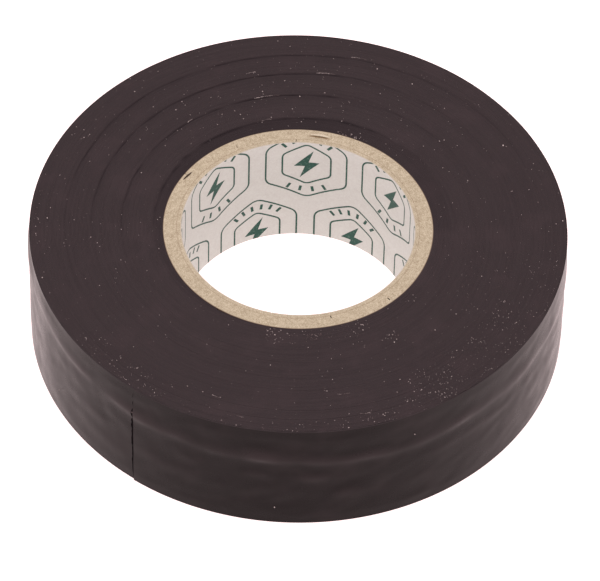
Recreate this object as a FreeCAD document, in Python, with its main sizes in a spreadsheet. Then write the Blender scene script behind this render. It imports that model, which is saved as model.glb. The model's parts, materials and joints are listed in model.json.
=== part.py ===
import FreeCAD, Part
import math
import os

import Sketcher
from FreeCAD import Placement, Rotation, Vector

# A roll of vinyl electrical tape wound on a paperboard core, in millimetres.
# The origin is the bottom centre of the bore, +Z runs along the bore, and the roll lies on z = 0.
# Azimuths are counted counter-clockwise from +X, seen from above.

DIMENSIONS = [
    ("tape_width", 19.0, "width of the tape, and length of the core"),
    ("tape_thickness", 0.18, "vinyl film and adhesive together"),
    ("film_thickness", 0.13, "vinyl film alone"),
    ("turns", 104, "turns of tape on the core"),
    ("bore_radius", 16.25, "inside of the printed paper liner"),
    ("core_radius", 18.8, "outside of the paperboard core"),
    ("liner_thickness", 0.15, "printed paper liner"),
    ("ply_count", 5, "board plies in the core"),
    ("seam_gap", 0.15, "gap in each butt seam of the core"),
    ("seam_lean", 0.54, "sideways travel of a butt seam per unit of height"),
    ("seam_overrun", 1.0, "how far a seam cut runs past each end of the core"),
    ("liner_seam_azimuth", 276.2, "liner seam at half height"),
    ("ply_seam_step", 193.7, "azimuth from one ply's seam to the next"),
    ("tape_end_azimuth", 234.5, "cut end of the tape"),
    ("tail_pieces", 6, "stiff pieces that stand for the free tail"),
    ("tail_piece_angle", 7.0, "azimuth taken by each tail piece"),
    ("tail_clearance", 0.01, "gap under the tail's adhesive"),
]

doc = FreeCAD.newDocument("ElectricalTapeRoll")
sheet = doc.addObject("Spreadsheet::Sheet", "Dimensions")
for row, (alias, size, meaning) in enumerate(DIMENSIONS, start=1):
    sheet.set(f"A{row}", meaning)
    sheet.set(f"B{row}", str(size))
    sheet.setAlias(f"B{row}", alias)
doc.recompute()

# The outermost surface falls by one tape thickness in each turn. It is drawn as two half circles whose
# centres stand a quarter of the thickness either side of the axis, along the azimuth of the tape's end.
TAPE = "Dimensions.tape_thickness"
FILM = "Dimensions.film_thickness"
ROLL_RADIUS = f"(Dimensions.core_radius + Dimensions.turns * {TAPE})"
FIRST_CENTRE = f"{TAPE} / 4"
FIRST_RADIUS = f"({ROLL_RADIUS} - {TAPE} / 4)"
TAIL_ANGLE = "Dimensions.tail_pieces * Dimensions.tail_piece_angle"
BODIES = []


def number(expression):
    """The value of an expression in the sheet's sizes."""
    return float(sheet.evalExpression(expression))


def new_body(label):
    body = doc.addObject("PartDesign::Body", label)
    body.Label = label
    BODIES.append(body)
    return body


def new_sketch(body, name, role):
    """A sketch on one of the body's own origin planes."""
    plane = next(f for f in body.Origin.OriginFeatures if f.Role == role)
    sketch = body.newObject("Sketcher::SketchObject", f"{body.Name}_{name}")
    sketch.AttachmentSupport = [(plane, "")]
    sketch.MapMode = "FlatFace"
    return sketch


def bind(sketch, name, expression, kind, *places, unit=""):
    """A sketch dimension that follows an expression in the sheet's sizes."""
    size = math.radians(number(expression)) if unit == "deg" else number(expression)
    index = sketch.addConstraint(Sketcher.Constraint(kind, *places, size))
    sketch.renameConstraint(index, name)
    sketch.setExpression(f"Constraints.{name}", f"({expression}) * 1 {unit or 'mm'}")


def tie(sketch, kind, *places):
    sketch.addConstraint(Sketcher.Constraint(kind, *places))


def add_arc(sketch, centre_x, radius, start, end):
    """An arc about a point on the sketch's X axis, from one angle to another in degrees."""
    circle = Part.Circle(Vector(centre_x, 0, 0), Vector(0, 0, 1), radius)
    return sketch.addGeometry(Part.ArcOfCircle(circle, math.radians(start), math.radians(end)))


def join(sketch, first, first_end, second, second_end):
    """A straight edge between the ends of two arcs."""
    a = sketch.getPoint(first, first_end)
    b = sketch.getPoint(second, second_end)
    line = sketch.addGeometry(Part.LineSegment(a, b))
    tie(sketch, "Coincident", line, 1, first, first_end)
    tie(sketch, "Coincident", line, 2, second, second_end)
    return line


def add_circle(sketch, name, radius):
    index = sketch.addGeometry(Part.Circle(Vector(0, 0, 0), Vector(0, 0, 1), number(radius)))
    tie(sketch, "Coincident", index, 3, -1, 1)
    bind(sketch, name, radius, "Radius", index)


def pad_to_width(body, sketch):
    pad = body.newObject("PartDesign::Pad", f"{body.Name}_pad")
    pad.Profile = sketch
    pad.setExpression("Length", "Dimensions.tape_width")
    sketch.Visibility = False
    doc.recompute()
    return pad


def turn_to(body, azimuth, centre=Vector(0, 0, 0)):
    """Turn a body about the roll's axis, with its own axis standing at centre."""
    body.Placement = Placement(centre, Rotation(Vector(0, 0, 1), number(azimuth)))
    body.setExpression("Placement.Rotation.Angle", f"({azimuth}) * 1 deg")


def core_layer(label, inner, outer, seam_azimuth):
    """One paper layer of the core: a tube slit by the leaning butt seam of a spirally wound strip."""
    body = new_body(label)
    ring = new_sketch(body, "ring", "XY_Plane")
    add_circle(ring, "inner_radius", inner)
    add_circle(ring, "outer_radius", outer)
    whole = pad_to_width(body, ring).Shape.Volume

    seam = new_sketch(body, "seam", "YZ_Plane")
    gap = "Dimensions.seam_gap"
    reach = "(Dimensions.tape_width / 2 + Dimensions.seam_overrun)"
    low = "-1 * Dimensions.seam_overrun"
    high = "Dimensions.tape_width + Dimensions.seam_overrun"
    corners = {
        "low_left": (f"Dimensions.seam_lean * {reach} - {gap} / 2", low),
        "low_right": (f"Dimensions.seam_lean * {reach} + {gap} / 2", low),
        "high_right": (f"{gap} / 2 - Dimensions.seam_lean * {reach}", high),
        "high_left": (f"0 - {gap} / 2 - Dimensions.seam_lean * {reach}", high),
    }
    points = [Vector(number(x), number(y), 0) for x, y in corners.values()]
    edges = [seam.addGeometry(Part.LineSegment(a, b)) for a, b in zip(points, points[1:] + points[:1])]
    for edge, after in zip(edges, edges[1:] + edges[:1]):
        tie(seam, "Coincident", edge, 2, after, 1)
    for edge, (name, (x, y)) in zip(edges, corners.items()):
        bind(seam, f"{name}_x", x, "DistanceX", -1, 1, edge, 1)
        bind(seam, f"{name}_y", y, "DistanceY", -1, 1, edge, 1)
    cut = body.newObject("PartDesign::Pocket", f"{label}_seam_cut")
    cut.Profile = seam
    cut.Type = "ThroughAll"
    cut.Reversed = True
    seam.Visibility = False
    turn_to(body, seam_azimuth)
    doc.recompute()
    if not 0.95 * whole < body.Shape.Volume < whole:
        raise RuntimeError(f"{label}: the seam cut took {whole - body.Shape.Volume:.3f} mm3")


def paper_core():
    board = "(Dimensions.bore_radius + Dimensions.liner_thickness)"
    ply = f"(Dimensions.core_radius - {board}) / Dimensions.ply_count"
    core_layer("core_liner", "Dimensions.bore_radius", board, "Dimensions.liner_seam_azimuth")
    for index in range(int(number("Dimensions.ply_count"))):
        core_layer(
            f"core_ply_{index + 1}",
            f"{board} + {index} * {ply}",
            f"{board} + {index + 1} * {ply}",
            f"Dimensions.liner_seam_azimuth + {index + 1} * Dimensions.ply_seam_step",
        )


def wound_tape():
    """All the turns below the outermost one: a ring whose outside ends in a step one tape thick."""
    body = new_body("wound_tape")
    sketch = new_sketch(body, "section", "XY_Plane")
    offset = number(FIRST_CENTRE)
    first_radius = f"{FIRST_RADIUS} - {TAPE}"
    first = add_arc(sketch, offset, number(first_radius), 0, 180)
    second = add_arc(sketch, -offset, number(f"{first_radius} - {TAPE} / 2"), 180, 360)
    tie(sketch, "PointOnObject", first, 3, -1)
    tie(sketch, "PointOnObject", first, 1, -1)
    tie(sketch, "PointOnObject", first, 2, -1)
    bind(sketch, "first_centre", FIRST_CENTRE, "DistanceX", -1, 1, first, 3)
    bind(sketch, "first_radius", first_radius, "Radius", first)
    tie(sketch, "PointOnObject", second, 3, -1)
    bind(sketch, "second_centre", FIRST_CENTRE, "DistanceX", second, 3, -1, 1)
    tie(sketch, "Coincident", second, 1, first, 2)
    tie(sketch, "PointOnObject", second, 2, -1)
    join(sketch, second, 2, first, 1)
    add_circle(sketch, "core_radius", "Dimensions.core_radius")
    pad_to_width(body, sketch)
    turn_to(body, "Dimensions.tape_end_azimuth")


def outer_turn(label, depth, thickness):
    """One layer of the outermost turn, from the peel line round to the step below the tape's end."""
    body = new_body(label)
    sketch = new_sketch(body, "section", "XY_Plane")
    offset = number(FIRST_CENTRE)
    tail_angle = number(TAIL_ANGLE)
    outside = f"{FIRST_RADIUS} - {depth}"
    inside = f"{outside} - {thickness}"
    half_step = number(f"{TAPE} / 2")
    firsts, seconds = [], []
    for name, radius in (("outside", outside), ("inside", inside)):
        first = add_arc(sketch, offset, number(radius), tail_angle, 180)
        second = add_arc(sketch, -offset, number(radius) - half_step, 180, 360)
        tie(sketch, "PointOnObject", first, 2, -1)
        bind(sketch, name, radius, "Radius", first)
        tie(sketch, "Coincident", second, 1, first, 2)
        tie(sketch, "PointOnObject", second, 2, -1)
        firsts.append(first)
        seconds.append(second)
    tie(sketch, "PointOnObject", firsts[0], 3, -1)
    bind(sketch, "first_centre", FIRST_CENTRE, "DistanceX", -1, 1, firsts[0], 3)
    tie(sketch, "Coincident", firsts[1], 3, firsts[0], 3)
    tie(sketch, "PointOnObject", seconds[0], 3, -1)
    bind(sketch, "second_centre", FIRST_CENTRE, "DistanceX", seconds[0], 3, -1, 1)
    tie(sketch, "Coincident", seconds[1], 3, seconds[0], 3)
    peel_edge = join(sketch, firsts[1], 1, firsts[0], 1)
    tie(sketch, "PointOnObject", firsts[0], 3, peel_edge)
    bind(sketch, "tail_angle", TAIL_ANGLE, "Angle", peel_edge, unit="deg")
    join(sketch, seconds[0], 2, seconds[1], 2)
    pad_to_width(body, sketch)
    turn_to(body, "Dimensions.tape_end_azimuth")


def tail_layer(label, depth, thickness, steps_from_end):
    """One layer of one tail piece, an arc about the first half turn's centre."""
    body = new_body(label)
    sketch = new_sketch(body, "section", "XY_Plane")
    outside = f"{FIRST_RADIUS} - {depth}"
    piece_angle = number("Dimensions.tail_piece_angle")
    arcs = []
    for name, radius in (("outside", outside), ("inside", f"{outside} - {thickness}")):
        arc = add_arc(sketch, 0, number(radius), 0, piece_angle)
        tie(sketch, "Coincident", arc, 3, -1, 1)
        tie(sketch, "PointOnObject", arc, 1, -1)
        bind(sketch, name, radius, "Radius", arc)
        arcs.append(arc)
    join(sketch, arcs[0], 1, arcs[1], 1)
    far_edge = join(sketch, arcs[1], 2, arcs[0], 2)
    tie(sketch, "PointOnObject", -1, 1, far_edge)
    bind(sketch, "piece_angle", "Dimensions.tail_piece_angle", "Angle", far_edge, unit="deg")
    pad_to_width(body, sketch)
    tape_end = math.radians(number("Dimensions.tape_end_azimuth"))
    centre = Vector(math.cos(tape_end), math.sin(tape_end), 0) * number(FIRST_CENTRE)
    azimuth = f"Dimensions.tape_end_azimuth + {steps_from_end} * Dimensions.tail_piece_angle"
    turn_to(body, azimuth, centre)


def tape():
    wound_tape()
    outer_turn("outer_turn_film", "0", FILM)
    outer_turn("outer_turn_adhesive", FILM, f"({TAPE} - {FILM})")
    pieces = int(number("Dimensions.tail_pieces"))
    for index in range(1, pieces + 1):
        tail_layer(f"tail_film_{index}", "0", FILM, pieces - index)
        adhesive = f"({TAPE} - {FILM} - Dimensions.tail_clearance)"
        tail_layer(f"tail_adhesive_{index}", FILM, adhesive, pieces - index)


paper_core()
tape()
doc.recompute()

failed = [o.Label for o in doc.Objects if {"Invalid", "Error"} & set(o.State)]
failed += [b.Label for b in BODIES if b.Shape.isNull() or not b.Shape.isValid() or len(b.Shape.Solids) != 1]
if failed:
    raise RuntimeError(f"these did not build: {failed}")
os.makedirs("parts", exist_ok=True)
for body in BODIES:
    body.Shape.exportStep(f"parts/{body.Label}.step")
    print(f"{body.Label}: {body.Shape.Volume:.2f} mm3")
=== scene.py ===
import json
import math
import random

import bmesh
import bpy
import numpy as np
from mathutils import Matrix, Quaternion, Vector, noise


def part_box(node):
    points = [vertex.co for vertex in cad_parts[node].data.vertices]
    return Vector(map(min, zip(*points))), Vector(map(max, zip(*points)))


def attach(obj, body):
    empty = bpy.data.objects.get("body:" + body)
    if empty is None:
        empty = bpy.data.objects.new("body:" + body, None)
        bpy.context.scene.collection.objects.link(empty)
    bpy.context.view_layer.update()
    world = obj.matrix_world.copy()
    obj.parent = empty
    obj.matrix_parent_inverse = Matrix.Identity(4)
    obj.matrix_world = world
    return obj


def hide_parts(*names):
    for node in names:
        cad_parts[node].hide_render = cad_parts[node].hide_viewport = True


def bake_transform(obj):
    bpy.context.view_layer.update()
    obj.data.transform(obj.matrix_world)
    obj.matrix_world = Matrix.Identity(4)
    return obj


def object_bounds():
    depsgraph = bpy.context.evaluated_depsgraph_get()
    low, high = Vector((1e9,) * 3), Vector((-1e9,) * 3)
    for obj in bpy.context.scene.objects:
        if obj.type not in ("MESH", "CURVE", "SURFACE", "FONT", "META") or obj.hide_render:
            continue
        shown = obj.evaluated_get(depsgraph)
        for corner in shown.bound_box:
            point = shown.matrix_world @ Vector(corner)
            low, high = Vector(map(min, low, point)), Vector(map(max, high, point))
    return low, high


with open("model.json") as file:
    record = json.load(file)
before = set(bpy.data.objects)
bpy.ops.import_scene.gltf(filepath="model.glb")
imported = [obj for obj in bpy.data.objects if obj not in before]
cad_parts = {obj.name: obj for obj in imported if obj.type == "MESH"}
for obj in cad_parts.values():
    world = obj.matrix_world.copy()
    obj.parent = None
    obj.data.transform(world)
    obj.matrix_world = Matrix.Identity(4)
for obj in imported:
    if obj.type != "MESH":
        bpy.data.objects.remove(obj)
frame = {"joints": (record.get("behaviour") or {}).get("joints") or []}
cad_low, cad_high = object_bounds()
MM = 0.001

# ------------------------------------------------------------
# Studio: a sheet of pale paper under the roll, an even white surround and one large soft lamp,
# and a long lens that looks down on the roll from the side of the tape's cut end.
# ------------------------------------------------------------
TAPE_WIDTH = cad_high.z
CAMERA_HEIGHT_ANGLE = math.radians(47.91)
CAMERA_DISTANCE = 805.3 * MM
CAMERA_LENS = 344.7
AIM_RIGHT, AIM_UP, CAMERA_ROLL = 0.00059, -0.00299, math.radians(1.41)
FLOOR_HALF = 1.5
FLOOR_COLOUR, FLOOR_GLOW_COLOUR, FLOOR_GLOW = (0.4, 0.4, 0.4, 1), (1.0, 0.81, 0.81, 1), 1.12
SURROUND_COLOUR, SURROUND_STRENGTH = (1.0, 0.82, 0.82, 1), 1.28
LAMP_PLACE, LAMP_SIZE, LAMP_POWER = (-0.35, 0.25, 0.9), 0.8, 2.0


def finish_material(name, colour, roughness, specular=0.5, **more):
    """A material with one Principled BSDF. Returns the material, its tree and the shader."""
    material = bpy.data.materials.new(name)
    material.use_nodes = True
    tree = material.node_tree
    shader = tree.nodes["Principled BSDF"]
    shader.inputs["Base Color"].default_value = colour
    shader.inputs["Roughness"].default_value = roughness
    shader.inputs["Specular IOR Level"].default_value = specular
    for socket, value in more.items():
        shader.inputs[socket.replace("_", " ")].default_value = value
    return material, tree, shader


def new_piece(name, vertices, faces, material):
    """A piece whose place is in its mesh, with its faces turned outwards."""
    mesh = bpy.data.meshes.new(name)
    mesh.from_pydata([tuple(v) for v in vertices], [], faces)
    shell = bmesh.new()
    shell.from_mesh(mesh)
    bmesh.ops.recalc_face_normals(shell, faces=shell.faces)
    shell.to_mesh(mesh)
    shell.free()
    mesh.materials.append(material)
    piece = bpy.data.objects.new(name, mesh)
    bpy.context.scene.collection.objects.link(piece)
    return piece


studio_paper, _, _ = finish_material(
    "studio_paper", FLOOR_COLOUR, 0.95, specular=0.2,
    Emission_Color=FLOOR_GLOW_COLOUR, Emission_Strength=FLOOR_GLOW,
)
floor = new_piece(
    "studio_floor",
    [(x * FLOOR_HALF, y * FLOOR_HALF, 0) for x, y in ((-1, -1), (1, -1), (1, 1), (-1, 1))],
    [(0, 1, 2, 3)],
    studio_paper,
)

world = bpy.data.worlds.new("studio_surround")
world.use_nodes = True
world.node_tree.nodes["Background"].inputs["Color"].default_value = SURROUND_COLOUR
world.node_tree.nodes["Background"].inputs["Strength"].default_value = SURROUND_STRENGTH
bpy.context.scene.world = world
bpy.context.scene.view_settings.view_transform = "Standard"

lamp_data = bpy.data.lights.new("soft_lamp", "AREA")
lamp_data.shape = "DISK"
lamp_data.size = LAMP_SIZE
lamp_data.energy = LAMP_POWER
lamp = bpy.data.objects.new("soft_lamp", lamp_data)
lamp.location = LAMP_PLACE
lamp.rotation_mode = "QUATERNION"
lamp.rotation_quaternion = lamp.location.to_track_quat("Z", "Y")
bpy.context.scene.collection.objects.link(lamp)

camera_data = bpy.data.cameras.new("camera")
camera_data.sensor_width = 36
camera_data.lens = CAMERA_LENS
camera_data.clip_start, camera_data.clip_end = 0.05, 10
camera = bpy.data.objects.new("camera", camera_data)
towards_camera = Vector((0, -math.cos(CAMERA_HEIGHT_ANGLE), math.sin(CAMERA_HEIGHT_ANGLE)))
camera.location = Vector((0, 0, TAPE_WIDTH / 2)) + towards_camera * CAMERA_DISTANCE
camera.rotation_mode = "QUATERNION"
camera.rotation_quaternion = (
    towards_camera.to_track_quat("Z", "Y")
    @ Quaternion((0, 1, 0), -AIM_RIGHT)
    @ Quaternion((1, 0, 0), AIM_UP)
    @ Quaternion((0, 0, 1), CAMERA_ROLL)
)
bpy.context.scene.collection.objects.link(camera)
bpy.context.scene.camera = camera

# ------------------------------------------------------------
# Board plies of the core: five strips of grey-tan paperboard wound in a spiral and glued, then cut
# square. Each ply shows a rough cut edge and one leaning butt seam, where the strip's edges meet.
# ------------------------------------------------------------
SEAM_LEAN = 0.54
SEAM_GAP = 0.15 * MM
PLY_SEAM_STEP = 193.7
LINER_SEAM = 276.2
PLY_COUNT = 5
GLUE_STAIN_START, GLUE_STAIN_END = 18.66 * MM, 18.80 * MM
FIRST_JOINT = 16.88 * MM
PLY_COLUMNS, PLY_ROWS, CUT_ROWS = 420, 13, 4
PLY_BEVEL = 0.035 * MM
PLY_ROUGHNESS_HEIGHT = 0.05 * MM
PULP_CLUMP = 0.35 * MM
BOARD_DARK, BOARD_PALE = (0.25, 0.215, 0.14), (0.56, 0.535, 0.40)
BOARD_DARK_FLECK, BOARD_PALE_FLECK = (0.15, 0.12, 0.08), (0.60, 0.61, 0.50)
GLUE_STAIN, GLUED_JOINT = (0.10, 0.06, 0.04), (0.22, 0.17, 0.11)


def add(tree, kind, inputs=None, **settings):
    """A node with its settings, and with each named or numbered input given a value or a link."""
    node = tree.nodes.new(kind)
    for name, value in settings.items():
        setattr(node, name, value)
    for key, value in (inputs or {}).items():
        if isinstance(value, bpy.types.NodeSocket):
            tree.links.new(value, node.inputs[key])
        else:
            node.inputs[key].default_value = value
    return node


def start_group(name, outputs, inputs):
    """An empty shader node group with named values. Returns the group and what is given to it."""
    group = bpy.data.node_groups.new(name, "ShaderNodeTree")
    for socket in outputs:
        group.interface.new_socket(socket, in_out="OUTPUT", socket_type="NodeSocketFloat")
    for socket, value in inputs.items():
        item = group.interface.new_socket(socket, in_out="INPUT", socket_type="NodeSocketFloat")
        item.default_value = value
    return group, add(group, "NodeGroupInput").outputs


def calc(tree, operation, *values):
    """One arithmetic node. Returns its output."""
    return add(tree, "ShaderNodeMath", dict(enumerate(values)), operation=operation).outputs[0]


def ease(tree, value, low, high):
    """0 below low, 1 above high, and a smooth step between."""
    node = add(
        tree, "ShaderNodeMapRange",
        {"Value": value, "From Min": low, "From Max": high},
        interpolation_type="SMOOTHSTEP",
    )
    return node.outputs["Result"]


def mix_colour(tree, share, first, second):
    """From the first colour to the second, by a share."""
    node = add(tree, "ShaderNodeMix", {"Factor": share}, data_type="RGBA")
    for slot, colour in ((6, first), (7, second)):
        if isinstance(colour, bpy.types.NodeSocket):
            tree.links.new(colour, node.inputs[slot])
        else:
            node.inputs[slot].default_value = (*colour, 1)
    return node.outputs[2]


def bump(tree, shader, height, distance):
    """Fine relief of a height that is distance deep."""
    node = add(tree, "ShaderNodeBump", {"Height": height, "Distance": distance, "Strength": 1.0})
    tree.links.new(node.outputs[0], shader.inputs["Normal"])


def distance_from_axis(tree, place):
    """How far a place is from the roll's axis."""
    parts = add(tree, "ShaderNodeSeparateXYZ", {0: place}).outputs
    squares = [calc(tree, "MULTIPLY", parts[axis], parts[axis]) for axis in "XY"]
    return calc(tree, "SQRT", calc(tree, "ADD", *squares))


def paper_fibre_group():
    """Pulp: short fibres lying every way, dark and pale flecks, and the felt they make."""
    outputs = ("Fibres", "Dark flecks", "Pale flecks", "Height")
    group, given = start_group("paper_fibre", outputs, {"Fibre size": 0.3 * MM})
    place = add(group, "ShaderNodeTexCoord").outputs["Object"]
    frequency = calc(group, "DIVIDE", 1.0, given["Fibre size"])
    felt = add(group, "ShaderNodeTexNoise",
               {"Vector": place, "Scale": frequency, "Detail": 5.0, "Roughness": 0.65, "Distortion": 1.5})
    coarse = add(group, "ShaderNodeTexNoise",
                 {"Vector": place, "Scale": calc(group, "MULTIPLY", frequency, 0.23), "Detail": 2.0})
    cells = add(group, "ShaderNodeTexVoronoi",
                {"Vector": place, "Scale": calc(group, "MULTIPLY", frequency, 0.55), "Randomness": 1.0})
    dark = ease(group, cells.outputs["Distance"], 0.22, 0.08)
    chance = add(group, "ShaderNodeSeparateColor", {0: cells.outputs["Color"]}).outputs
    fine_fibres = calc(group, "MULTIPLY", felt.outputs["Fac"], 0.85)
    add(group, "NodeGroupOutput", {
        "Fibres": calc(group, "ADD", fine_fibres, calc(group, "MULTIPLY", coarse.outputs["Fac"], 0.15)),
        "Dark flecks": calc(group, "MULTIPLY", dark, ease(group, chance[0], 0.7, 0.8)),
        "Pale flecks": calc(group, "MULTIPLY", dark, ease(group, chance[1], 0.72, 0.8)),
        "Height": felt.outputs["Fac"],
    })
    return group


PAPER_FIBRE = paper_fibre_group()


def place_group(tree, group, **values):
    """A shared group with this material's own values."""
    node = add(tree, "ShaderNodeGroup", node_tree=group)
    for socket, value in values.items():
        node.inputs[socket.replace("_", " ")].default_value = value
    return node


def paperboard_material():
    """Grey-tan board: flecked pulp, a dark glue line at its outer edge and one at the first joint."""
    material, tree, shader = finish_material("paperboard", (0.55, 0.44, 0.31, 1), 0.9, specular=0.2)
    pulp = place_group(tree, PAPER_FIBRE, Fibre_size=0.12 * MM)
    ground = mix_colour(tree, ease(tree, pulp.outputs["Fibres"], 0.36, 0.64), BOARD_DARK, BOARD_PALE)
    for flecks, amount, colour in (
        ("Dark flecks", 0.7, BOARD_DARK_FLECK),
        ("Pale flecks", 0.75, BOARD_PALE_FLECK),
    ):
        share = calc(tree, "MULTIPLY", pulp.outputs[flecks], amount)
        ground = mix_colour(tree, share, ground, colour)
    ragged = calc(tree, "MULTIPLY", calc(tree, "SUBTRACT", pulp.outputs["Fibres"], 0.5), 0.25 * MM)
    place = add(tree, "ShaderNodeTexCoord").outputs["Object"]
    radius = calc(tree, "ADD", distance_from_axis(tree, place), ragged)
    glued_edge = ease(tree, radius, GLUE_STAIN_START, GLUE_STAIN_END)
    ground = mix_colour(tree, calc(tree, "MULTIPLY", glued_edge, 0.85), ground, GLUE_STAIN)
    joint_line = calc(
        tree, "MULTIPLY",
        ease(tree, radius, FIRST_JOINT - 0.07 * MM, FIRST_JOINT),
        ease(tree, radius, FIRST_JOINT + 0.09 * MM, FIRST_JOINT + 0.02 * MM),
    )
    ground = mix_colour(tree, calc(tree, "MULTIPLY", joint_line, 0.5), ground, GLUED_JOINT)
    tree.links.new(ground, shader.inputs["Base Color"])
    bump(tree, shader, pulp.outputs["Height"], 0.03 * MM)
    return material


def smooth(piece, sharp_angle):
    """Smooth shading, with edges over sharp_angle degrees left crisp."""
    for face in piece.data.polygons:
        face.use_smooth = True
    piece.data.set_sharp_from_angle(angle=math.radians(sharp_angle))


def round_axis(radius, azimuth, z):
    """The place at a distance from the roll's axis, an azimuth in radians and a height."""
    return radius * math.cos(azimuth), radius * math.sin(azimuth), z


def swept_faces(columns, count):
    """Faces round a section of count points, from column 0 to the last, with both ends closed."""
    faces = []
    for column in range(columns):
        here, there = column * count, (column + 1) * count
        for i in range(count):
            j = (i + 1) % count
            faces.append((here + i, here + j, there + j, there + i))
    return faces + [tuple(range(count)), tuple(columns * count + i for i in reversed(range(count)))]


def leaning_seam(z, radius, seam_azimuth):
    """Azimuth of a butt seam at height z, in radians."""
    sideways = SEAM_LEAN * (TAPE_WIDTH / 2 - z)
    return math.radians(seam_azimuth) + math.asin(sideways / radius)


def paper_layer(name, inner, outer, seam_azimuth, rows, columns, relief, material):
    """One layer of the core, from one lip of its leaning seam round to the other."""
    section = [(inner, z) for z in np.linspace(PLY_BEVEL, TAPE_WIDTH - PLY_BEVEL, rows)]
    section += [(r, TAPE_WIDTH) for r in np.linspace(inner + PLY_BEVEL, outer - PLY_BEVEL, CUT_ROWS)]
    section += [(outer, z) for z in np.linspace(TAPE_WIDTH - PLY_BEVEL, PLY_BEVEL, rows)]
    section += [(r, 0) for r in np.linspace(outer - PLY_BEVEL, inner + PLY_BEVEL, CUT_ROWS)]
    vertices = []
    for column in range(columns + 1):
        for radius, z in section:
            gap = SEAM_GAP / radius
            share = gap / 2 + (2 * math.pi - gap) * column / columns
            azimuth = leaning_seam(z, (inner + outer) / 2, seam_azimuth) + share
            place = Vector(round_axis(radius, azimuth, z))
            if z in (0, TAPE_WIDTH):
                worn = relief * (0.5 + 0.5 * noise.noise(place / PULP_CLUMP))
                place.z += worn if z == 0 else -worn
            vertices.append(place)
    piece = new_piece(name, vertices, swept_faces(columns, len(section)), material)
    smooth(piece, 50)
    return piece


paperboard = paperboard_material()
ply_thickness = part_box("core_ply_2")[1].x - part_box("core_ply_1")[1].x
for index in range(PLY_COUNT):
    node = f"core_ply_{index + 1}"
    outer_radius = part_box(node)[1].x
    ply = paper_layer(
        f"board_ply_{index + 1}", outer_radius - ply_thickness, outer_radius,
        LINER_SEAM + (index + 1) * PLY_SEAM_STEP, PLY_ROWS, PLY_COLUMNS, PLY_ROUGHNESS_HEIGHT, paperboard,
    )
    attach(ply, "roll")
    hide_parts(node)

# ------------------------------------------------------------
# Frayed pulp: the cut edge is torn in two places. A flake of pale pulp stands off the cut, with a
# thin brown leaf on its inner side as its painted shadow. A dark splinter along a joint of two plies
# is painted shade, standing for a crack there.
# ------------------------------------------------------------
FLAKE_COLUMNS, FLAKE_ROWS = 24, 5
PALE_PULP = ((0.44, 0.40, 0.29), (0.60, 0.59, 0.47))
FLAKE_SHADOW_COLOURS = ((0.17, 0.11, 0.055), (0.30, 0.22, 0.13))
CRACK_SHADE_COLOURS = ((0.020, 0.014, 0.010), (0.06, 0.045, 0.03))


def pulp_material(name, dark, pale):
    """Torn pulp, from dark in its hollows to pale on its fibres."""
    material, tree, shader = finish_material(name, (*dark, 1), 0.9, specular=0.2)
    pulp = place_group(tree, PAPER_FIBRE, Fibre_size=0.15 * MM)
    ground = mix_colour(tree, ease(tree, pulp.outputs["Fibres"], 0.35, 0.65), dark, pale)
    tree.links.new(ground, shader.inputs["Base Color"])
    bump(tree, shader, pulp.outputs["Height"], 0.03 * MM)
    return material


def splinter(name, radius, drift, azimuths, width, lift, thickness, material):
    """A thin leaf of pulp along the cut edge, raised on its inner side by lift."""
    across = [2 * j / (FLAKE_ROWS - 1) - 1 for j in range(FLAKE_ROWS)]
    section = [(share, 0) for share in across] + [(share, thickness) for share in reversed(across)]
    vertices = []
    for i in range(FLAKE_COLUMNS + 1):
        along = i / FLAKE_COLUMNS
        half = width / 2 * math.sin(math.pi * (0.04 + 0.92 * along)) ** 0.7
        azimuth = math.radians(azimuths[0] + (azimuths[1] - azimuths[0]) * along)
        middle = radius + drift * (along - 0.5) + 0.14 * width * noise.noise(Vector((along * 9, 3.1, 0)))
        for share, up in section:
            rise = lift * max(0, -share) * math.sin(math.pi * along)
            z = TAPE_WIDTH - PLY_ROUGHNESS_HEIGHT + rise + up
            vertices.append(round_axis(middle + half * share, azimuth, z))
    leaf = new_piece(name, vertices, swept_faces(FLAKE_COLUMNS, len(section)), material)
    smooth(leaf, 60)
    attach(leaf, "roll")


splinter(
    "frayed_pulp_flake", 17.86 * MM, 0.04 * MM, (76.8, 85.4),
    width=0.55 * MM, lift=0.22 * MM, thickness=0.06 * MM,
    material=pulp_material("pale_pulp", *PALE_PULP),
)
# Painted shadow: a thin brown leaf under the flake's inner side.
splinter(
    "torn_pulp_hollow", 17.56 * MM, 0.10 * MM, (76.2, 86.0),
    width=0.20 * MM, lift=0.01 * MM, thickness=0.05 * MM,
    material=pulp_material("flake_shadow_paint", *FLAKE_SHADOW_COLOURS),
)
# Painted shade: a dark leaf along a ply joint, standing for a crack there.
splinter(
    "stained_splinter", 18.23 * MM, 0.24 * MM, (146.4, 152.2),
    width=0.26 * MM, lift=0.03 * MM, thickness=0.05 * MM,
    material=pulp_material("crack_shade_paint", *CRACK_SHADE_COLOURS),
)

# ------------------------------------------------------------
# Liner: the innermost layer is a white coated paper strip, wound with its butt seam leaning and cut
# with the core. The coating is smooth, and the cut end shows the yellower pulp under it.
# ------------------------------------------------------------
BORE_RADIUS = 16.25 * MM
LINER_OUTER_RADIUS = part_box("core_liner")[1].x
LINER_COLUMNS, LINER_ROWS = 360, 31
LINER_ROUGHNESS_HEIGHT = 0.03 * MM
COATED_DARK, COATED_PALE = (0.575, 0.60, 0.566), (0.64, 0.68, 0.644)
COATED_FLECK, LINER_CUT = (0.31, 0.32, 0.29), (0.42, 0.40, 0.31)


def end_facing(tree, low, high):
    """0 on the round sides of a layer, and 1 on its cut ends."""
    facing = add(tree, "ShaderNodeTexCoord").outputs["Normal"]
    upright = add(tree, "ShaderNodeSeparateXYZ", {0: facing}).outputs["Z"]
    return ease(tree, calc(tree, "ABSOLUTE", upright), low, high)


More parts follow.
